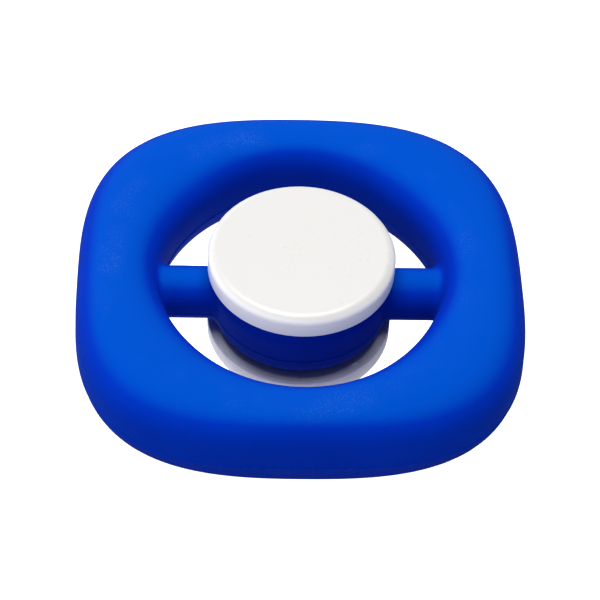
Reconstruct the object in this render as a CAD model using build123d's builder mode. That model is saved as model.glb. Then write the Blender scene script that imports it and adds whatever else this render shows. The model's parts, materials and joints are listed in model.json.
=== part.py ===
"""Spinning grip ring: a silicone ring on a ball bearing held between two finger caps.

The origin is on the spin axis, halfway between the faces of the two caps.
+Z is the spin axis and the two arms lie along X.
"""

import os
from math import cos, pi, sin

from build123d import *

# Silicone ring: a rounded square outside, a nearly round finger hole inside
ring_length = 72.0
ring_width = 70.6
ring_squareness = 3.05
ring_height = 14.8
section_squareness = 2.7
section_points = 24
hole_length = 45.1
hole_width = 47.2
hole_across_corners = 44.7
station_count = 8

# Silicone arms and hub, moulded in one with the ring
arm_diameter = 8.5
arm_drop = 0.6
hub_diameter = 28.3
hub_height = 9.0
hub_edge_radius = 1.8
lip_overlap = 0.8

# Ball bearing, 8 x 22 x 7
bearing_bore = 8.0
bearing_diameter = 22.0
bearing_width = 7.0
pitch_diameter = 15.0
ball_diameter = 3.969
ball_count = 7
ball_clearance = 0.05
groove_conformity = 0.52
inner_shoulder_diameter = 12.1
outer_shoulder_diameter = 18.0
race_chamfer = 0.3

# Shields and their snap rings, one of each in each end of the outer race
shield_seat_diameter = 19.8
shield_seat_depth = 0.75
shield_sheet = 0.25
shield_dish = 0.25
shield_dish_margin = 0.8
shield_gap = 0.3
seat_clearance = 0.05
snap_wire_diameter = 0.4
snap_ring_gap_angle = 30.0

# Ball cage: two pressed halves riveted together between the balls
cage_sheet = 0.35
cage_band = 1.9
pocket_clearance = 0.1
rivet_diameter = 0.6
rivet_head_diameter = 1.0
rivet_head_height = 0.2

# Finger caps: dished buttons whose stems meet inside the bearing
cap_diameter = 30.0
cap_rim_height = 4.05
cap_gap = 1.1
cap_plate = 1.8
cap_dish_diameter = 22.4
cap_edge_radius = 1.5
cap_foot_radius = 0.4
boss_diameter = 11.0
pin_diameter = 5.0
stem_end_gap = 0.3

# Levels and radii that follow from the sizes above
race_face = bearing_width / 2
rim_level = hub_height / 2 + cap_gap
cap_face = rim_level + cap_rim_height
pitch_radius = pitch_diameter / 2
ball_radius = ball_diameter / 2
groove_radius = ball_diameter * groove_conformity
groove_offset = ball_radius + ball_clearance - groove_radius
seat_ledge = race_face - shield_seat_depth
seat_radius = shield_seat_diameter / 2

os.makedirs("parts", exist_ok=True)


# ---------------------------------------------------------------- silicone ring
def outline_radius(angle):
    """Outside of the ring, seen along the axis: a superellipse in polar form."""
    along = abs(cos(angle) / (ring_length / 2)) ** ring_squareness
    across = abs(sin(angle) / (ring_width / 2)) ** ring_squareness
    return (along + across) ** (-1 / ring_squareness)


def hole_radius(angle):
    """Finger hole: round, stretched a little along Y and pinched at the corners."""
    mean = (hole_length + hole_width + 2 * hole_across_corners) / 8
    stretch = (hole_length - hole_width) / 4
    pinch = (hole_length + hole_width - 2 * hole_across_corners) / 8
    return mean + stretch * cos(2 * angle) + pinch * cos(4 * angle)


def signed_power(value, power):
    """Power of the size of a value that keeps its sign."""
    return abs(value) ** power if value >= 0 else -(abs(value) ** power)


def section_outline(angle):
    """Points of the ring's rounded section: radius across, height up."""
    centre = (outline_radius(angle) + hole_radius(angle)) / 2
    half_width = (outline_radius(angle) - hole_radius(angle)) / 2
    power = 2 / section_squareness
    outline = []
    for step in range(section_points):
        turn = 2 * pi * step / section_points
        across = centre + half_width * signed_power(cos(turn), power)
        up = ring_height / 2 * signed_power(sin(turn), power)
        outline.append((across, up))
    return outline


with BuildPart() as ring_quarter:
    for station in range(station_count + 1):
        angle = pi / 2 * station / station_count
        section_plane = Plane(
            origin=(0, 0, 0),
            x_dir=(cos(angle), sin(angle), 0),
            z_dir=(sin(angle), -cos(angle), 0),
        )
        with BuildSketch(section_plane):
            with BuildLine():
                Spline(*section_outline(angle), periodic=True)
            make_face()
    loft()

with BuildPart() as ring_half:
    add(ring_quarter.part)
    mirror(ring_quarter.part, about=Plane.YZ)

arm_reach = (ring_length + hole_length) / 4

with BuildPart() as silicone_ring:
    with BuildSketch(Plane.XY.offset(-hub_height / 2)):
        Circle(hub_diameter / 2)
    extrude(amount=hub_height)
    fillet(silicone_ring.edges(), hub_edge_radius)
    # The arms run in one line through the hub and end inside the ring
    with BuildSketch(Plane.YZ):
        with Locations((0, -arm_drop)):
            Circle(arm_diameter / 2)
    extrude(amount=arm_reach, both=True)
    add(ring_half.part)
    mirror(ring_half.part, about=Plane.XZ)
    # Bearing seat, with a lip over each end of the outer race
    with BuildSketch(Plane.XY.offset(-race_face)):
        Circle(bearing_diameter / 2)
    extrude(amount=bearing_width, mode=Mode.SUBTRACT)
    with BuildSketch():
        Circle(bearing_diameter / 2 - lip_overlap)
    extrude(amount=hub_height, both=True, mode=Mode.SUBTRACT)

silicone_ring.part.label = "silicone_ring"
export_step(silicone_ring.part, "parts/silicone_ring.step")


# ---------------------------------------------------------------- bearing races
with BuildPart() as outer_race:
    with BuildSketch(Plane.XY.offset(-race_face)):
        Circle(bearing_diameter / 2)
        Circle(outer_shoulder_diameter / 2, mode=Mode.SUBTRACT)
    extrude(amount=bearing_width)
    ends = outer_race.edges().filter_by(GeomType.CIRCLE).sort_by(SortBy.RADIUS)[-2:]
    chamfer(ends, race_chamfer)
    for level in (-race_face, seat_ledge):
        with BuildSketch(Plane.XY.offset(level)):
            Circle(seat_radius)
        extrude(amount=shield_seat_depth, mode=Mode.SUBTRACT)
    with BuildSketch(Plane.XZ):
        with Locations((pitch_radius + groove_offset, 0)):
            Circle(groove_radius)
    revolve(axis=Axis.Z, mode=Mode.SUBTRACT)

with BuildPart() as inner_race:
    with BuildSketch(Plane.XY.offset(-race_face)):
        Circle(inner_shoulder_diameter / 2)
        Circle(bearing_bore / 2, mode=Mode.SUBTRACT)
    extrude(amount=bearing_width)
    ends = inner_race.edges().filter_by(GeomType.CIRCLE).sort_by(SortBy.RADIUS)[:2]
    chamfer(ends, race_chamfer)
    with BuildSketch(Plane.XZ):
        with Locations((pitch_radius - groove_offset, 0)):
            Circle(groove_radius)
    revolve(axis=Axis.Z, mode=Mode.SUBTRACT)

outer_race.part.label = "bearing_outer_race"
export_step(outer_race.part, "parts/bearing_outer_race.step")
inner_race.part.label = "bearing_inner_race"
export_step(inner_race.part, "parts/bearing_inner_race.step")


# ---------------------------------------------------------------- balls
for number in range(ball_count):
    ball_angle = 2 * pi * number / ball_count
    ball_place = (pitch_radius * cos(ball_angle), pitch_radius * sin(ball_angle), 0)
    with BuildPart() as ball:
        with Locations(ball_place):
            Sphere(ball_radius)
    ball.part.label = f"ball_{number + 1}"
    export_step(ball.part, f"parts/ball_{number + 1}.step")


# ---------------------------------------------------------------- ball cage
pocket_radius = ball_radius + pocket_clearance
rivet_start = 180 / ball_count

with BuildPart() as cage_upper_half:
    with BuildSketch():
        Circle(pitch_radius + cage_band / 2)
        Circle(pitch_radius - cage_band / 2, mode=Mode.SUBTRACT)
    extrude(amount=cage_sheet)
    with PolarLocations(pitch_radius, ball_count):
        Sphere(pocket_radius + cage_sheet)
    with BuildSketch():
        Circle(pitch_radius + cage_band / 2)
        Circle(pitch_radius - cage_band / 2, mode=Mode.SUBTRACT)
    extrude(amount=pocket_radius + cage_sheet, mode=Mode.INTERSECT)
    with PolarLocations(pitch_radius, ball_count):
        Sphere(pocket_radius, mode=Mode.SUBTRACT)
    with PolarLocations(pitch_radius, ball_count, start_angle=rivet_start):
        Hole(rivet_diameter / 2)

with BuildPart() as cage_lower_half:
    mirror(cage_upper_half.part, about=Plane.XY)

with BuildPart() as cage_rivets:
    with BuildSketch(Plane.XY.offset(-cage_sheet)):
        with PolarLocations(pitch_radius, ball_count, start_angle=rivet_start):
            Circle(rivet_diameter / 2)
    extrude(amount=2 * cage_sheet)
    for level in (-cage_sheet - rivet_head_height, cage_sheet):
        with BuildSketch(Plane.XY.offset(level)):
            with PolarLocations(pitch_radius, ball_count, start_angle=rivet_start):
                Circle(rivet_head_diameter / 2)
        extrude(amount=rivet_head_height)

cage_upper_half.part.label = "cage_upper_half"
export_step(cage_upper_half.part, "parts/cage_upper_half.step")
cage_lower_half.part.label = "cage_lower_half"
export_step(cage_lower_half.part, "parts/cage_lower_half.step")
cage_rivets.part.label = "cage_rivets"
export_step(cage_rivets.part, "parts/cage_rivets.step")


# ---------------------------------------------------------------- shields
shield_rim = seat_radius - seat_clearance
shield_bend = outer_shoulder_diameter / 2 - shield_dish_margin
shield_hole = inner_shoulder_diameter / 2 + shield_gap

with BuildPart() as upper_shield:
    # A flat rim on the seat's ledge, then a step up to the dished middle
    with BuildSketch(Plane.XZ):
        with BuildLine():
            Polyline(
                (shield_hole, seat_ledge + shield_dish),
                (shield_bend - shield_dish, seat_ledge + shield_dish),
                (shield_bend, seat_ledge),
                (shield_rim, seat_ledge),
                (shield_rim, seat_ledge + shield_sheet),
                (shield_bend, seat_ledge + shield_sheet),
                (shield_bend - shield_dish, seat_ledge + shield_dish + shield_sheet),
                (shield_hole, seat_ledge + shield_dish + shield_sheet),
                close=True,
            )
        make_face()
    revolve(axis=Axis.Z)

with BuildPart() as lower_shield:
    mirror(upper_shield.part, about=Plane.XY)

snap_radius = (shield_seat_diameter - snap_wire_diameter) / 2
snap_level = seat_ledge + shield_sheet + snap_wire_diameter / 2

with BuildPart() as upper_snap_ring:
    # An open ring of round wire, sprung outwards against the seat
    with BuildSketch(Plane.XZ):
        with Locations((snap_radius, snap_level)):
            Circle(snap_wire_diameter / 2)
    revolve(axis=Axis.Z, revolution_arc=360 - snap_ring_gap_angle)

with BuildPart() as lower_snap_ring:
    mirror(upper_snap_ring.part, about=Plane.XY)

upper_shield.part.label = "upper_shield"
export_step(upper_shield.part, "parts/upper_shield.step")
lower_shield.part.label = "lower_shield"
export_step(lower_shield.part, "parts/lower_shield.step")
upper_snap_ring.part.label = "upper_snap_ring"
export_step(upper_snap_ring.part, "parts/upper_snap_ring.step")
lower_snap_ring.part.label = "lower_snap_ring"
export_step(lower_snap_ring.part, "parts/lower_snap_ring.step")


# ---------------------------------------------------------------- finger caps
with BuildPart() as button:
    # The dished button and its boss, which both caps share
    with BuildSketch(Plane.XY.offset(rim_level)):
        Circle(cap_diameter / 2)
    extrude(amount=cap_rim_height)
    fillet(button.edges().sort_by(Axis.Z)[-1], cap_edge_radius)
    fillet(button.edges().sort_by(Axis.Z)[0], cap_foot_radius)
    with BuildSketch(Plane.XY.offset(rim_level)):
        Circle(cap_dish_diameter / 2)
    extrude(amount=cap_rim_height - cap_plate, mode=Mode.SUBTRACT)
    with BuildSketch(Plane.XY.offset(race_face)):
        Circle(boss_diameter / 2)
    extrude(amount=cap_face - cap_plate - race_face)

with BuildPart() as top_cap:
    add(button.part)
    with BuildSketch(Plane.XY.offset(stem_end_gap - race_face)):
        Circle(pin_diameter / 2)
    extrude(amount=bearing_width - stem_end_gap)

with BuildPart() as bottom_cap:
    mirror(button.part, about=Plane.XY)
    with BuildSketch(Plane.XY.offset(-race_face)):
        Circle(bearing_bore / 2)
        Circle(pin_diameter / 2, mode=Mode.SUBTRACT)
    extrude(amount=bearing_width - stem_end_gap)

top_cap.part.label = "top_cap"
export_step(top_cap.part, "parts/top_cap.step")
bottom_cap.part.label = "bottom_cap"
export_step(bottom_cap.part, "parts/bottom_cap.step")
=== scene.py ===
import json
from math import pi, radians

import bmesh
import bpy
import numpy as np
from mathutils import Matrix, Vector


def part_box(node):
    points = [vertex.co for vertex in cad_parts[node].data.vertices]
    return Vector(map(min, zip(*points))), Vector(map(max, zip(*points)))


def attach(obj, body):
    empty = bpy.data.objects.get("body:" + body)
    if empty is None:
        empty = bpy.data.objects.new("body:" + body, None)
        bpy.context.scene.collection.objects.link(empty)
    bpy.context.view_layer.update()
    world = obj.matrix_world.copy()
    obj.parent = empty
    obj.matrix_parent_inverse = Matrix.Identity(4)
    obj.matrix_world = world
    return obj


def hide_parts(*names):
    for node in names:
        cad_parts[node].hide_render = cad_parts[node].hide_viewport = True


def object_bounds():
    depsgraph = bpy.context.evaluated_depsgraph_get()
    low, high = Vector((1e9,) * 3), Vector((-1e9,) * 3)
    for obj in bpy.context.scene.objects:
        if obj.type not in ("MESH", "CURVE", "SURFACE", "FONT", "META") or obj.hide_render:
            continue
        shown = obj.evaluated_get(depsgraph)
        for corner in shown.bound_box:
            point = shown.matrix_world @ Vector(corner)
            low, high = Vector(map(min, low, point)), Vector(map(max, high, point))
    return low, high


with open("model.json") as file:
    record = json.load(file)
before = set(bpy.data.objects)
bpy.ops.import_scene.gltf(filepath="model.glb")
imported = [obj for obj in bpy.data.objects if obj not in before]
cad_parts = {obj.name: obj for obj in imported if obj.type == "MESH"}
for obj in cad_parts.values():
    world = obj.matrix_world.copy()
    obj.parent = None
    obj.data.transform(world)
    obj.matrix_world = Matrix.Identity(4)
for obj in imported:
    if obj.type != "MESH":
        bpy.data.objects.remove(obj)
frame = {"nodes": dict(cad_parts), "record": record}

cad_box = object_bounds()

# ------------------------------------------------------------------ bearing races
# Two hardened steel rings with a ball groove between them, turned and then ground all over.
# The outer race is pressed into the silicone hub, and the inner race onto the caps' stem.


def new_group(name, inputs, outputs):
    """A shader node group with its sockets, and its two end nodes."""
    group = bpy.data.node_groups.new(name, "ShaderNodeTree")
    for socket, kind, value in inputs:
        made = group.interface.new_socket(name=socket, in_out="INPUT", socket_type=kind)
        made.default_value = value
    for socket, kind in outputs:
        group.interface.new_socket(name=socket, in_out="OUTPUT", socket_type=kind)
    start = group.nodes.new("NodeGroupInput")
    end = group.nodes.new("NodeGroupOutput")
    return group, start, end


def new_material(name, color, roughness, metallic=0.0):
    """A material with one Principled shader, and the tree that it stands in."""
    material = bpy.data.materials.new(name)
    material.use_nodes = True
    tree = material.node_tree
    shader = tree.nodes["Principled BSDF"]
    shader.inputs["Base Color"].default_value = (*color, 1.0)
    shader.inputs["Roughness"].default_value = roughness
    shader.inputs["Metallic"].default_value = metallic
    return material, tree, shader


def add_math(tree, operation, first, second=0.0):
    """A math node on two values, each a socket or a number."""
    node = tree.nodes.new("ShaderNodeMath")
    node.operation = operation
    for socket, value in zip(node.inputs, (first, second)):
        if isinstance(value, bpy.types.NodeSocket):
            tree.links.new(value, socket)
        else:
            socket.default_value = value
    return node.outputs["Value"]


def add_noise(tree, vector, scale, detail=2.0, roughness=0.5):
    """A noise texture on the given coordinates, and its value."""
    node = tree.nodes.new("ShaderNodeTexNoise")
    tree.links.new(vector, node.inputs["Vector"])
    if isinstance(scale, bpy.types.NodeSocket):
        tree.links.new(scale, node.inputs["Scale"])
    else:
        node.inputs["Scale"].default_value = scale
    node.inputs["Detail"].default_value = detail
    node.inputs["Roughness"].default_value = roughness
    return node.outputs["Fac"]


def add_range(tree, value, low, high, to_low=0.0, to_high=1.0):
    """The value, mapped from one range to another and held inside it."""
    node = tree.nodes.new("ShaderNodeMapRange")
    node.interpolation_type = "SMOOTHSTEP"
    tree.links.new(value, node.inputs["Value"])
    limits = (("From Min", low), ("From Max", high), ("To Min", to_low), ("To Max", to_high))
    for socket, number in limits:
        if isinstance(number, bpy.types.NodeSocket):
            tree.links.new(number, node.inputs[socket])
        else:
            node.inputs[socket].default_value = number
    return node.outputs["Result"]


def add_parts(tree, vector):
    """The X, Y and Z of a vector, each as a socket."""
    node = tree.nodes.new("ShaderNodeSeparateXYZ")
    tree.links.new(vector, node.inputs["Vector"])
    return node.outputs


def add_place(tree):
    """Where each point lies, in the object's own coordinates."""
    return tree.nodes.new("ShaderNodeTexCoord").outputs["Object"]


def add_radius(tree, parts):
    """How far each point is from the Z axis."""
    across = add_math(tree, "MULTIPLY", parts["X"], parts["X"])
    along = add_math(tree, "MULTIPLY", parts["Y"], parts["Y"])
    return add_math(tree, "SQRT", add_math(tree, "ADD", across, along))


def add_mix(tree, factor, first, second):
    """A colour between two others, each a socket or a colour."""
    node = tree.nodes.new("ShaderNodeMix")
    node.data_type = "RGBA"
    tree.links.new(factor, node.inputs["Factor"])
    for socket, value in ((node.inputs["A"], first), (node.inputs["B"], second)):
        if isinstance(value, bpy.types.NodeSocket):
            tree.links.new(value, socket)
        else:
            socket.default_value = (*value, 1.0)
    return node.outputs["Result"]


def add_bump(tree, shader, height, strength, distance):
    """A bump that feeds the shader's normal."""
    node = tree.nodes.new("ShaderNodeBump")
    node.inputs["Strength"].default_value = strength
    node.inputs["Distance"].default_value = distance
    tree.links.new(height, node.inputs["Height"])
    tree.links.new(node.outputs["Normal"], shader.inputs["Normal"])


def use_group(tree, group, **values):
    """A node group placed in a material, with its own values."""
    node = tree.nodes.new("ShaderNodeGroup")
    node.node_tree = group
    for socket, value in values.items():
        node.inputs[socket.replace("_", " ")].default_value = value
    return node


def make_turned_grain():
    """Fine rings round the axis, as a grinding wheel or a lathe leaves them."""
    group, start, end = new_group(
        "turned_grain",
        [("Line Scale", "NodeSocketFloat", 9000.0), ("Stain Scale", "NodeSocketFloat", 400.0)],
        [("Line", "NodeSocketFloat"), ("Stain", "NodeSocketFloat")],
    )
    place = add_place(group)
    parts = add_parts(group, place)
    turned = group.nodes.new("ShaderNodeCombineXYZ")
    group.links.new(add_radius(group, parts), turned.inputs["X"])
    group.links.new(parts["Z"], turned.inputs["Y"])
    line_scale = start.outputs["Line Scale"]
    line = add_noise(group, turned.outputs["Vector"], line_scale, detail=3.0, roughness=0.7)
    stain = add_noise(group, place, start.outputs["Stain Scale"], detail=4.0)
    group.links.new(line, end.inputs["Line"])
    group.links.new(stain, end.inputs["Stain"])
    return group


turned_grain = make_turned_grain()


def make_turned_steel(name, color, dull, roughness, line_scale, bump):
    """Steel with fine turned lines and a faint film of oil."""
    material, tree, shader = new_material(name, color, roughness, metallic=1.0)
    grain = use_group(tree, turned_grain, Line_Scale=line_scale)
    stained = add_range(tree, grain.outputs["Stain"], 0.35, 0.65)
    tree.links.new(add_mix(tree, stained, color, dull), shader.inputs["Base Color"])
    rough = add_range(tree, grain.outputs["Line"], 0.3, 0.7, roughness * 0.8, roughness * 1.3)
    tree.links.new(rough, shader.inputs["Roughness"])
    add_bump(tree, shader, grain.outputs["Line"], bump, 0.00001)
    return material


def finish_node(name, material):
    """Gives a carried-over part its finish."""
    mesh = frame["nodes"][name].data
    mesh.materials.clear()
    mesh.materials.append(material)


race_steel = make_turned_steel(
    "ground_race_steel", (0.56, 0.57, 0.58), (0.47, 0.47, 0.46),
    roughness=0.2, line_scale=9000.0, bump=0.5,
)
for race in ("bearing_outer_race", "bearing_inner_race"):
    finish_node(race, race_steel)

# ------------------------------------------------------------------ balls
# Seven lapped steel balls, mirror bright, that roll in the groove between the races.
# Only a trace of oil and the faintest scuffs break the polish.


def make_ball_steel():
    """Polished steel with a thin uneven film of oil."""
    material, tree, shader = new_material("polished_ball_steel", (0.72, 0.73, 0.74), 0.06, metallic=1.0)
    film = add_noise(tree, add_place(tree), 900.0, detail=3.0)
    tree.links.new(add_range(tree, film, 0.35, 0.7, 0.04, 0.16), shader.inputs["Roughness"])
    tree.links.new(add_mix(tree, film, (0.76, 0.77, 0.78), (0.66, 0.65, 0.62)), shader.inputs["Base Color"])
    return material


ball_steel = make_ball_steel()
for body in frame["record"]["behaviour"]["bodies"]:
    if body.startswith("rolling_"):
        ball = body.removeprefix("rolling_")
        finish_node(ball, ball_steel)

# ------------------------------------------------------------------ ball cage
# Two rings of thin sheet steel, pressed to a row of pockets and riveted together between the balls.
# The press leaves the sheet slightly mottled.


def make_pressed_steel(name, color, dull, roughness):
    """Sheet steel with the mottled skin that pressing leaves."""
    material, tree, shader = new_material(name, color, roughness, metallic=1.0)
    mottle = add_noise(tree, add_place(tree), 1500.0, detail=4.0, roughness=0.6)
    spread = add_range(tree, mottle, 0.35, 0.65)
    tree.links.new(add_mix(tree, spread, color, dull), shader.inputs["Base Color"])
    rough = add_range(tree, mottle, 0.3, 0.7, roughness * 0.8, roughness * 1.25)
    tree.links.new(rough, shader.inputs["Roughness"])
    add_bump(tree, shader, mottle, 0.3, 0.00002)
    return material


cage_steel = make_pressed_steel("pressed_cage_steel", (0.5, 0.49, 0.46), (0.4, 0.39, 0.37), 0.34)
for piece in ("cage_upper_half", "cage_lower_half", "cage_rivets"):
    finish_node(piece, cage_steel)

# ------------------------------------------------------------------ shields and snap rings
# A dished disc of thin bright steel closes each end of the bearing, and an open ring of spring
# wire holds it on its seat in the outer race.
shield_steel = make_turned_steel(
    "bright_shield_steel", (0.64, 0.65, 0.66), (0.55, 0.55, 0.54),
    roughness=0.26, line_scale=5000.0, bump=0.35,
)
wire_steel = make_pressed_steel("drawn_wire_steel", (0.42, 0.43, 0.45), (0.33, 0.33, 0.34), 0.3)
for side in ("upper", "lower"):
    finish_node(side + "_shield", shield_steel)
    finish_node(side + "_snap_ring", wire_steel)

# ------------------------------------------------------------------ silicone grip ring
# Ring, arms and hub are one moulding of soft silicone, blue all through. The two halves of the
# mould leave a thin parting line right round it, and the skin has a fine grain; what faces up has a painted
# sheen.
ring_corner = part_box("silicone_ring")[1]
race_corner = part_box("bearing_outer_race")[1]
half_length, half_width, half_height = ring_corner
ring_squareness = 3.05
section_squareness = 2.7
hole_mean = 0.02285
hole_stretch = -0.000525
hole_pinch = 0.00036
arm_radius = 0.00425
arm_drop = 0.0006
arm_reach = 0.027
root_blend = 0.0013
hub_radius = 0.01415
hub_half_height = 0.0045
hub_edge = 0.0018
lip_overlap = 0.0008
lip_edge = 0.0003
voxel = 0.00042
parting_level = -0.0015
flash_width = 0.00018
flash_height = 0.00013


def ring_outer(angle):
    """Radius of the ring's outside, a superellipse in polar form."""
    along = np.abs(np.cos(angle) / half_length) ** ring_squareness
    across = np.abs(np.sin(angle) / half_width) ** ring_squareness
    return (along + across) ** (-1 / ring_squareness)


def ring_hole(angle):
    """Radius of the finger hole, nearly round."""
    return hole_mean + hole_stretch * np.cos(2 * angle) + hole_pinch * np.cos(4 * angle)


def ring_distance(points):
    """About how far each point is outside the ring's rounded section."""
    angle = np.arctan2(points[:, 1], points[:, 0])
    middle = (ring_outer(angle) + ring_hole(angle)) / 2
    half = (ring_outer(angle) - ring_hole(angle)) / 2
    across = np.abs(np.hypot(points[:, 0], points[:, 1]) - middle) / half + 1e-9
    up = np.abs(points[:, 2]) / half_height + 1e-9
    p = section_squareness
    size = (across**p + up**p) ** (1 / p)
    slope = np.hypot((across / size) ** (p - 1) / half, (up / size) ** (p - 1) / half_height)
    return (size - 1) / slope


def arm_distance(points):
    """How far each point is outside the two arms, one round bar along X."""
    past_end = np.maximum(np.abs(points[:, 0]) - arm_reach, 0)
    return np.sqrt(past_end**2 + points[:, 1] ** 2 + (points[:, 2] + arm_drop) ** 2) - arm_radius


def hub_distance(points):
    """How far each point is outside the hub, a disc with rounded edges."""
    out = np.hypot(points[:, 0], points[:, 1]) - (hub_radius - hub_edge)
    up = np.abs(points[:, 2]) - (hub_half_height - hub_edge)
    corner = np.hypot(np.maximum(out, 0), np.maximum(up, 0))
    return corner + np.minimum(np.maximum(out, up), 0) - hub_edge


def blended(first, second, reach):
    """The nearer of two distances, run into each other with a small fillet."""
    overlap = np.maximum(reach - np.abs(first - second), 0) / reach
    return np.minimum(first, second) - overlap**2 * reach / 4


def moulding_distance(points):
    """How far each point is outside the whole moulding."""
    arms_and_hub = blended(arm_distance(points), hub_distance(points), root_blend)
    return blended(ring_distance(points), arms_and_hub, root_blend)


def moulding_slope(points, step=1e-6):
    """How the distance from the moulding changes along X, Y and Z at each point."""
    slope = np.empty_like(points)
    for axis in range(3):
        shift = np.zeros(3)
        shift[axis] = step
        rise = moulding_distance(points + shift) - moulding_distance(points - shift)
        slope[:, axis] = rise / (2 * step)
    return slope


def with_modifier(mesh, kind, **settings):
    """The mesh that one modifier makes of another."""
    holder = bpy.data.objects.new("holder", mesh)
    bpy.context.scene.collection.objects.link(holder)
    modifier = holder.modifiers.new("shape", kind)
    for setting, value in settings.items():
        setattr(modifier, setting, value)
    seen = holder.evaluated_get(bpy.context.evaluated_depsgraph_get())
    made = bpy.data.meshes.new_from_object(seen)
    bpy.data.objects.remove(holder)
    return made


def with_boolean(mesh, tool_mesh, operation):
    """The mesh with another solid cut from it or joined to it."""
    tool = bpy.data.objects.new("tool", tool_mesh)
    bpy.context.scene.collection.objects.link(tool)
    made = with_modifier(mesh, "BOOLEAN", operation=operation, solver="EXACT", object=tool)
    bpy.data.objects.remove(tool)
    return made


def as_mesh(shape, name):
    """A mesh made of a bmesh, which is freed."""
    mesh = bpy.data.meshes.new(name)
    shape.to_mesh(mesh)
    shape.free()
    return mesh


def spun_solid(profile, steps, rims):
    """A solid of revolution about Z, whose profile of (radius, level) starts and ends on the axis.
    Each rim that is rounded is (radius, level, size, segments)."""
    shape = bmesh.new()
    corners = [shape.verts.new((radius, 0, level)) for radius, level in profile]
    edges = [shape.edges.new(pair) for pair in zip(corners, corners[1:])]
    bmesh.ops.spin(
        shape, geom=corners + edges, cent=(0, 0, 0), axis=(0, 0, 1),
        angle=2 * pi, steps=steps, use_merge=True,
    )
    bmesh.ops.remove_doubles(shape, verts=shape.verts, dist=1e-7)
    bmesh.ops.recalc_face_normals(shape, faces=shape.faces)
    for radius, level, size, segments in rims:
        place = Vector((radius, level))
        rim = [
            edge for edge in shape.edges
            if all((Vector((v.co.xy.length, v.co.z)) - place).length < 1e-6 for v in edge.verts)
        ]
        bmesh.ops.bevel(
            shape, geom=rim, offset=size, offset_type="OFFSET", affect="EDGES",
            segments=segments, profile=0.5, material=-1,
        )
    return as_mesh(shape, "spun")


def make_rough_moulding():
    """The plain parts of the moulding, one through the other: ring, arms and hub."""
    shape = bmesh.new()
    thickness = (half_length - hole_mean) / 2
    section = bmesh.ops.create_circle(shape, segments=32, radius=thickness)["verts"]
    bmesh.ops.rotate(shape, verts=section, matrix=Matrix.Rotation(pi / 2, 3, "X"))
    bmesh.ops.translate(shape, verts=section, vec=(half_length - thickness, 0, 0))
    bmesh.ops.spin(
        shape, geom=section + shape.edges[:], cent=(0, 0, 0), axis=(0, 0, 1),
        angle=2 * pi, steps=96, use_merge=True,
    )
    lying = Matrix.Translation((0, 0, -arm_drop)) @ Matrix.Rotation(pi / 2, 4, "Y")
    bmesh.ops.create_cone(
        shape, segments=32, radius1=arm_radius, radius2=arm_radius,
        depth=2 * (arm_reach + arm_radius / 2), cap_ends=True, matrix=lying,
    )
    bmesh.ops.create_cone(
        shape, segments=64, radius1=hub_radius, radius2=hub_radius,
        depth=2 * hub_half_height, cap_ends=True,
    )
    bmesh.ops.recalc_face_normals(shape, faces=shape.faces)
    return as_mesh(shape, "rough_moulding")


def drawn_to_skin(mesh, passes=12, share=0.8, least_steepness=0.05):
    """Moves every point of a fused mesh on to the moulding's true skin."""
    flat = np.empty(len(mesh.vertices) * 3)
    mesh.vertices.foreach_get("co", flat)
    points = flat.reshape(-1, 3)
    for _ in range(passes):
        slope = moulding_slope(points)
        steepness = np.maximum((slope**2).sum(axis=1, keepdims=True), least_steepness)
        points -= share * moulding_distance(points)[:, None] * slope / steepness
    mesh.vertices.foreach_set("co", points.ravel())
    mesh.update()
    return mesh


def make_bearing_seat():
    """The hollow in the hub: the bearing's own space, and a narrower mouth through each lip."""
    seat_radius, seat_level = race_corner.x, race_corner.z
    mouth = seat_radius - lip_overlap
    flare = mouth + lip_edge
    face = hub_half_height
    beyond = 2 * hub_half_height
    return spun_solid(
        [
            (0, -beyond), (flare, -beyond), (flare, -face), (mouth, lip_edge - face),
            (mouth, -seat_level), (seat_radius, -seat_level), (seat_radius, seat_level),
            (mouth, seat_level), (mouth, face - lip_edge), (flare, face), (flare, beyond), (0, beyond),
        ],
        160, [],
    )


def add_flash(mesh):
    """Cuts the mesh along the parting line and draws the cut out to a fine ridge."""
    shape = bmesh.new()
    shape.from_mesh(mesh)
    for level in (parting_level - flash_width, parting_level, parting_level + flash_width):
        bmesh.ops.bisect_plane(
            shape, geom=shape.verts[:] + shape.edges[:] + shape.faces[:],
            plane_co=(0, 0, level), plane_no=(0, 0, 1), dist=1e-7,
        )
    shape.normal_update()
    for vert in shape.verts:
        outside_seat = vert.co.xy.length > race_corner.x + lip_overlap
        if outside_seat and abs(vert.co.z - parting_level) < 1e-6:
            vert.co += flash_height * vert.normal
    return as_mesh(shape, "moulding")


moulding = with_modifier(make_rough_moulding(), "REMESH", mode="VOXEL", voxel_size=voxel)
moulding = drawn_to_skin(with_modifier(moulding, "SMOOTH", factor=0.5, iterations=4))
moulding = add_flash(with_boolean(moulding, make_bearing_seat(), "DIFFERENCE"))


def make_fine_grain():
    """The skin that a blasted mould gives: a fine even grain over a slow unevenness."""
    group, start, end = new_group(
        "fine_grain",
        [("Grain Scale", "NodeSocketFloat", 2500.0), ("Wave Scale", "NodeSocketFloat", 120.0)],
        [("Grain", "NodeSocketFloat"), ("Wave", "NodeSocketFloat")],
    )
    place = add_place(group)
    grain = add_noise(group, place, start.outputs["Grain Scale"], detail=3.0, roughness=0.65)
    wave = add_noise(group, place, start.outputs["Wave Scale"], detail=3.0)
    group.links.new(grain, end.inputs["Grain"])
    group.links.new(wave, end.inputs["Wave"])
    return group


dust_centre = (-0.0017, -0.001, 0.0)
dust_band = (0.0004, 0.0038)
dust_level = (0.004, 0.0065)
dust_left, dust_right = -0.03, 0.03
dust_at_right = 0.45
patch_edge = (0.42, 0.72)
speck_softness = 0.12


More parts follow.
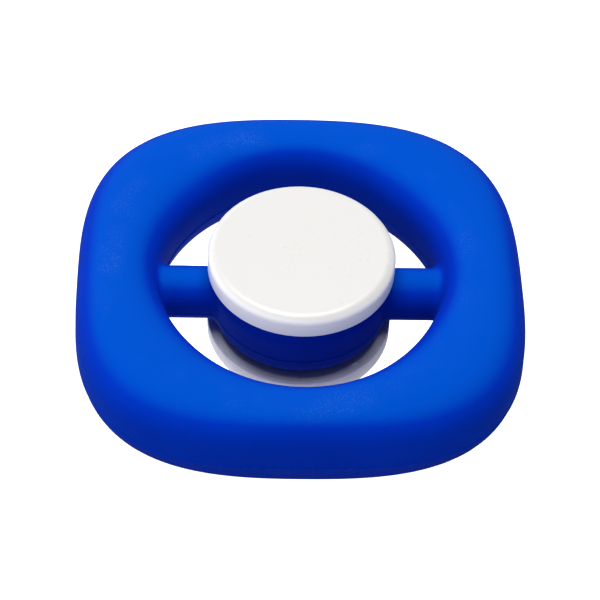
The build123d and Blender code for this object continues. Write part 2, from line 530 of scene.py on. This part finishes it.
def make_rubbed_dust():
    """Fine pale specks in loose patches along the ring's crest, where tables and hands touch it."""
    group, start, end = new_group(
        "rubbed_dust",
        [
            ("Band Radius", "NodeSocketFloat", 0.0293),
            ("Patch Scale", "NodeSocketFloat", 60.0),
            ("Speck Scale", "NodeSocketFloat", 2600.0),
            ("Speck Edge", "NodeSocketFloat", 0.6),
        ],
        [("Specks", "NodeSocketFloat"), ("Film", "NodeSocketFloat")],
    )
    place = add_place(group)
    centred = group.nodes.new("ShaderNodeMapping")
    centred.inputs["Location"].default_value = [-shift for shift in dust_centre]
    group.links.new(place, centred.inputs["Vector"])
    spot = add_parts(group, centred.outputs["Vector"])
    off_band = add_math(group, "SUBTRACT", add_radius(group, spot), start.outputs["Band Radius"])
    band = add_range(group, add_math(group, "ABSOLUTE", off_band), *dust_band, 1.0, 0.0)
    upward = add_range(group, spot["Z"], *dust_level)
    patch_noise = add_noise(group, place, start.outputs["Patch Scale"], detail=3.0, roughness=0.6)
    patches = add_range(group, patch_noise, *patch_edge)
    speck_noise = add_noise(group, place, start.outputs["Speck Scale"], detail=1.0)
    speck_top = add_math(group, "ADD", start.outputs["Speck Edge"], speck_softness)
    specks = add_range(group, speck_noise, start.outputs["Speck Edge"], speck_top)
    more_at_left = add_range(group, spot["X"], dust_left, dust_right, 1.0, dust_at_right)
    film = add_math(group, "MULTIPLY", add_math(group, "MULTIPLY", patches, band), upward)
    film = add_math(group, "MULTIPLY", film, more_at_left)
    group.links.new(add_math(group, "MULTIPLY", specks, film), end.inputs["Specks"])
    group.links.new(film, end.inputs["Film"])
    return group


fine_grain = make_fine_grain()
rubbed_dust = make_rubbed_dust()
silicone_color = (0.0, 0.036, 0.47)
silicone_deep = (0.0, 0.033, 0.45)
painted_sheen_color = (0.0, 0.077, 0.5)
lower_shade_and_reflection_color = (0.008, 0.034, 0.42)
dust_color = (0.32, 0.4, 0.8)
painted_sheen_rise = (0.72, 1.0)
film_share = 0.015
speck_share = 0.2


def add_facing(tree):
    """The X, Y and Z of the direction that the surface faces."""
    return add_parts(tree, tree.nodes.new("ShaderNodeNewGeometry").outputs["Normal"])


def make_silicone():
    """Matte blue silicone: its grain, a painted sheen on what faces up, painted shade and reflection on its
    lower half, and dust rubbed into its crest.
    """
    material, tree, shader = new_material("blue_silicone", silicone_color, 0.6)
    shader.inputs["Specular IOR Level"].default_value = 0.18
    shader.inputs["Specular Tint"].default_value = (0.0, 1.0, 1.0, 1.0)
    grain = use_group(tree, fine_grain, Grain_Scale=2600.0, Wave_Scale=110.0)
    powder = use_group(
        tree, rubbed_dust, Band_Radius=0.0293, Patch_Scale=95.0, Speck_Scale=4200.0, Speck_Edge=0.58,
    )
    wave = add_range(tree, grain.outputs["Wave"], 0.3, 0.7)
    skin = add_mix(tree, wave, silicone_color, silicone_deep)
    # Painted sheen: what faces up is painted a paler, greener blue, standing in for the overhead highlight.
    skin = add_mix(tree, add_range(tree, add_facing(tree)["Z"], *painted_sheen_rise), skin, painted_sheen_color)
    # Painted shade and reflection: below the parting line the blue is painted darker with a touch of red,
    # standing in for the shade on the lower side and the white caps' reflection.
    level = add_parts(tree, add_place(tree))["Z"]
    painted_lower_half = add_range(tree, level, parting_level - flash_width, parting_level, 1.0, 0.0)
    skin = add_mix(tree, painted_lower_half, skin, lower_shade_and_reflection_color)
    film = add_math(tree, "MULTIPLY", powder.outputs["Film"], film_share)
    specks = add_math(tree, "MULTIPLY", powder.outputs["Specks"], speck_share)
    dusty = add_math(tree, "ADD", film, specks)
    tree.links.new(add_mix(tree, dusty, skin, dust_color), shader.inputs["Base Color"])
    rough = add_range(tree, grain.outputs["Grain"], 0.3, 0.7, 0.7, 0.82)
    tree.links.new(rough, shader.inputs["Roughness"])
    add_bump(tree, shader, grain.outputs["Grain"], 0.35, 0.00004)
    return material


def add_piece(name, mesh, material, sharp_from=radians(50)):
    """A new object for a finished mesh, smooth but for its sharp corners."""
    mesh.name = name
    mesh.materials.clear()
    mesh.materials.append(material)
    mesh.shade_smooth()
    mesh.set_sharp_from_angle(angle=sharp_from)
    piece = bpy.data.objects.new(name, mesh)
    bpy.context.scene.collection.objects.link(piece)
    return piece


grip = add_piece("grip_ring_moulding", moulding, make_silicone())
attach(grip, "grip_ring")
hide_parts("silicone_ring")

# ------------------------------------------------------------------ finger caps
# Two white injection-moulded buttons, one above and one below the hub. The top one's pin is
# pressed into the bottom one's hollow stem, which fills the bearing's bore.
cap_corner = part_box("top_cap")[1]
cap_radius, cap_face = cap_corner.x, cap_corner.z
cap_rim_height = 0.00405
cap_plate = 0.0018
cap_dish_radius = 0.0112
cap_edge = 0.0015
cap_foot = 0.0004
boss_radius = 0.0055
pin_radius = 0.0025
stem_radius = 0.004
stem_end_gap = 0.0003
dish_edge = 0.0003
flat_margin = 0.0001
gate_mark_place = (-0.0027, 0.0)
gate_mark_radius = 0.0005
gate_mark_depth = 0.00002
nub_place = (0.0089, -0.0108)
nub_radius = 0.0005
nub_height = 0.0004
nub_stretch = (1.3, 0.8)
scratch_turns = (20.0, 75.0, 140.0)
scratch_stretch = (0.03, 1.0, 1.0)
scratch_softness = 0.05
cap_rim_painted_light_color = (0.96, 0.945, 0.925)
cap_face_painted_shade_color = (0.665, 0.657, 0.645)
cap_face_painted_shade_deep = (0.655, 0.647, 0.635)


def make_fine_scratches():
    """A few hair-fine scratches, lying every way."""
    group, start, end = new_group(
        "fine_scratches",
        [("Scale", "NodeSocketFloat", 300.0), ("Rarity", "NodeSocketFloat", 0.7)],
        [("Scratch", "NodeSocketFloat")],
    )
    place = add_place(group)
    found = None
    for turn in scratch_turns:
        lean = group.nodes.new("ShaderNodeMapping")
        lean.inputs["Rotation"].default_value = (0.0, 0.0, radians(turn))
        lean.inputs["Scale"].default_value = scratch_stretch
        group.links.new(place, lean.inputs["Vector"])
        lines = add_noise(group, lean.outputs["Vector"], start.outputs["Scale"], detail=1.0)
        line_top = add_math(group, "ADD", start.outputs["Rarity"], scratch_softness)
        scratch = add_range(group, lines, start.outputs["Rarity"], line_top)
        found = scratch if found is None else add_math(group, "MAXIMUM", found, scratch)
    group.links.new(found, end.inputs["Scratch"])
    return group


fine_scratches = make_fine_scratches()


def make_cap_plastic():
    """Satin white plastic, smooth with a slight unevenness and a few scratches. The rim is painted
    much paler than the flat faces: painted light on the rim and painted shade on the faces."""
    material, tree, shader = new_material("white_cap_plastic", cap_rim_painted_light_color, 0.22)
    grain = use_group(tree, fine_grain, Grain_Scale=1400.0, Wave_Scale=150.0)
    marks = use_group(tree, fine_scratches, Scale=5000.0, Rarity=0.74)
    wave = add_range(tree, grain.outputs["Wave"], 0.3, 0.7)
    # Painted light and shade: surfaces that face up or down get the darker face colour, the sides the pale
    # rim colour.
    flat = add_range(tree, add_math(tree, "ABSOLUTE", add_facing(tree)["Z"]), 0.3, 1.0)
    face = add_mix(tree, wave, cap_face_painted_shade_color, cap_face_painted_shade_deep)
    tree.links.new(add_mix(tree, flat, cap_rim_painted_light_color, face), shader.inputs["Base Color"])
    rough = add_range(tree, grain.outputs["Wave"], 0.3, 0.7, 0.27, 0.33)
    scuffed = add_math(tree, "ADD", rough, add_math(tree, "MULTIPLY", marks.outputs["Scratch"], 0.12))
    tree.links.new(scuffed, shader.inputs["Roughness"])
    add_bump(tree, shader, grain.outputs["Grain"], 0.08, 0.00003)
    return material


def make_cap_mesh(stem):
    """A button for the top: flat face, rounded edge, dished inside, and its boss and stem."""
    rim = cap_face - cap_rim_height
    dish = cap_face - cap_plate
    profile = stem + [
        (boss_radius, race_corner.z), (boss_radius, dish), (cap_dish_radius, dish),
        (cap_dish_radius, rim), (cap_radius - cap_foot - flat_margin, rim), (cap_radius, rim),
        (cap_radius, cap_face), (cap_radius - cap_edge - flat_margin, cap_face), (0, cap_face),
    ]
    rims = [
        (cap_radius, cap_face, cap_edge, 10), (cap_radius, rim, cap_foot, 6),
        (cap_dish_radius, rim, dish_edge, 3),
    ]
    return spun_solid(profile, 160, rims)


stem_end = stem_end_gap - race_corner.z
top_stem = [(0, stem_end), (pin_radius, stem_end), (pin_radius, race_corner.z)]
bottom_stem = [
    (0, race_corner.z), (pin_radius, race_corner.z), (pin_radius, stem_end), (stem_radius, stem_end),
    (stem_radius, race_corner.z),
]
cap_plastic = make_cap_plastic()
top_mesh = make_cap_mesh(top_stem)
bottom_mesh = make_cap_mesh(bottom_stem)
bottom_mesh.transform(Matrix.Rotation(pi, 4, "X"))


def make_gate_mark():
    """The shallow round dent that the mould's gate leaves in the top face."""
    return spun_solid(
        [
            (0, cap_face - gate_mark_depth), (gate_mark_radius, cap_face - gate_mark_depth),
            (gate_mark_radius, cap_face + gate_mark_depth), (0, cap_face + gate_mark_depth),
        ],
        24, [],
    )


def make_nub():
    """A low rounded nub that an ejector pin leaves on the lower button's rim."""
    shape = bmesh.new()
    bmesh.ops.create_uvsphere(shape, u_segments=20, v_segments=12, radius=nub_radius)
    bmesh.ops.scale(shape, verts=shape.verts, vec=(*nub_stretch, nub_height / nub_radius))
    return as_mesh(shape, "nub")


gate_mark = make_gate_mark()
gate_mark.transform(Matrix.Translation((*gate_mark_place, 0)))
top_mesh = with_boolean(top_mesh, gate_mark, "DIFFERENCE")
nub = make_nub()
nub.transform(Matrix.Translation((*nub_place, cap_rim_height - cap_face)))
bottom_mesh = with_boolean(bottom_mesh, nub, "UNION")
for name, mesh in (("top_button", top_mesh), ("bottom_button", bottom_mesh)):
    cap = add_piece(name, mesh, cap_plastic)
    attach(cap, "finger_caps")
    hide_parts(name.replace("button", "cap"))

# ------------------------------------------------------------------ camera, floor and light
# The object lies on white paper, which the camera sees evenly pale even in the shade. A painted pool
# of light glows under the finger hole, brighter to the left, and lights the lower button. One wide softbox
# hangs over it, among pale walls.
floor_level = cad_box[0][2]
floor_reach = 3.0
paper_glow = 0.95
painted_light_pool_glow = 0.6
painted_light_pool_edge = (0.0235, 0.026)
painted_light_pool_lean = 25.0
wall_glow = 1.15
wall_top = 0.978
more_from_left = 0.56
more_from_front = 0.15
softbox_place = Vector((-0.03, 0.11, 0.59))
softbox_size = 0.45
softbox_power = 3.4
camera_place = Vector((-0.0143, -0.2412, 0.2664))
camera_aim = Vector((0.00004, -0.00117, -0.00102))
camera_roll = radians(3.16)
camera_data = bpy.data.cameras.new("camera")
camera_data.lens = 133.1
camera_data.sensor_width = 36.0
camera_data.clip_start = 0.01
camera = bpy.data.objects.new("camera", camera_data)
bpy.context.scene.collection.objects.link(camera)
turn = (camera_aim - camera_place).to_track_quat("-Z", "Y").to_matrix()
rolled = turn @ Matrix.Rotation(camera_roll, 3, "Z")
camera.matrix_world = Matrix.Translation(camera_place) @ rolled.to_4x4()
bpy.context.scene.camera = camera


def make_paper():
    """White paper that glows evenly where the camera sees it, with a painted pool of light under the finger
    hole that lights the lower button.
    """
    material, tree, shader = new_material("white_paper", (0.4, 0.4, 0.4), 0.9)
    shader.inputs["Specular IOR Level"].default_value = 0.0
    shader.inputs["Emission Color"].default_value = (1.0, 1.0, 1.0, 1.0)
    seen = tree.nodes.new("ShaderNodeLightPath").outputs["Is Camera Ray"]
    place = add_place(tree)
    reach = tree.nodes.new("ShaderNodeVectorMath")
    reach.operation = "LENGTH"
    tree.links.new(place, reach.inputs[0])
    # Painted light: a glowing patch under the finger hole, stronger to the left, stands in for lit paper
    # there.
    inside = add_range(tree, reach.outputs["Value"], *painted_light_pool_edge, painted_light_pool_glow, 0.0)
    to_left = add_math(tree, "MULTIPLY", add_parts(tree, place)["X"], -painted_light_pool_lean)
    pool_of_painted_light = add_math(tree, "MULTIPLY", inside, add_math(tree, "ADD", to_left, 1.0))
    glow = add_math(tree, "ADD", add_math(tree, "MULTIPLY", seen, paper_glow), pool_of_painted_light)
    tree.links.new(glow, shader.inputs["Emission Strength"])
    return material


shape = bmesh.new()
at_floor = Matrix.Translation((0, 0, floor_level))
bmesh.ops.create_grid(shape, x_segments=1, y_segments=1, size=floor_reach, matrix=at_floor)
floor_mesh = as_mesh(shape, "floor")
floor_mesh.materials.append(make_paper())
floor = bpy.data.objects.new("floor", floor_mesh)
bpy.context.scene.collection.objects.link(floor)

# The walls light the object from all round, most from its left, and fade upwards.
world = bpy.data.worlds.new("studio")
bpy.context.scene.world = world
world.use_nodes = True
walls = world.node_tree
direction = add_parts(walls, walls.nodes.new("ShaderNodeTexCoord").outputs["Generated"])
glow = add_range(walls, direction["Z"], 0.0, wall_top, wall_glow, 0.0)
to_left = add_math(walls, "MULTIPLY", direction["X"], -more_from_left)
to_front = add_math(walls, "MULTIPLY", direction["Y"], -more_from_front)
lean = add_math(walls, "ADD", add_math(walls, "ADD", to_left, to_front), 1.0)
background = walls.nodes["Background"]
background.inputs["Color"].default_value = (1.0, 1.0, 1.0, 1.0)
walls.links.new(add_math(walls, "MULTIPLY", glow, lean), background.inputs["Strength"])

softbox = bpy.data.lights.new("overhead", "AREA")
softbox.shape = "SQUARE"
softbox.size = softbox_size
softbox.energy = softbox_power
overhead = bpy.data.objects.new("overhead", softbox)
bpy.context.scene.collection.objects.link(overhead)
overhead.location = softbox_place
overhead.rotation_euler = (-softbox_place).to_track_quat("-Z", "Y").to_euler()

bpy.context.scene.view_settings.view_transform = "Standard"
bpy.context.scene.view_settings.look = "Medium High Contrast"
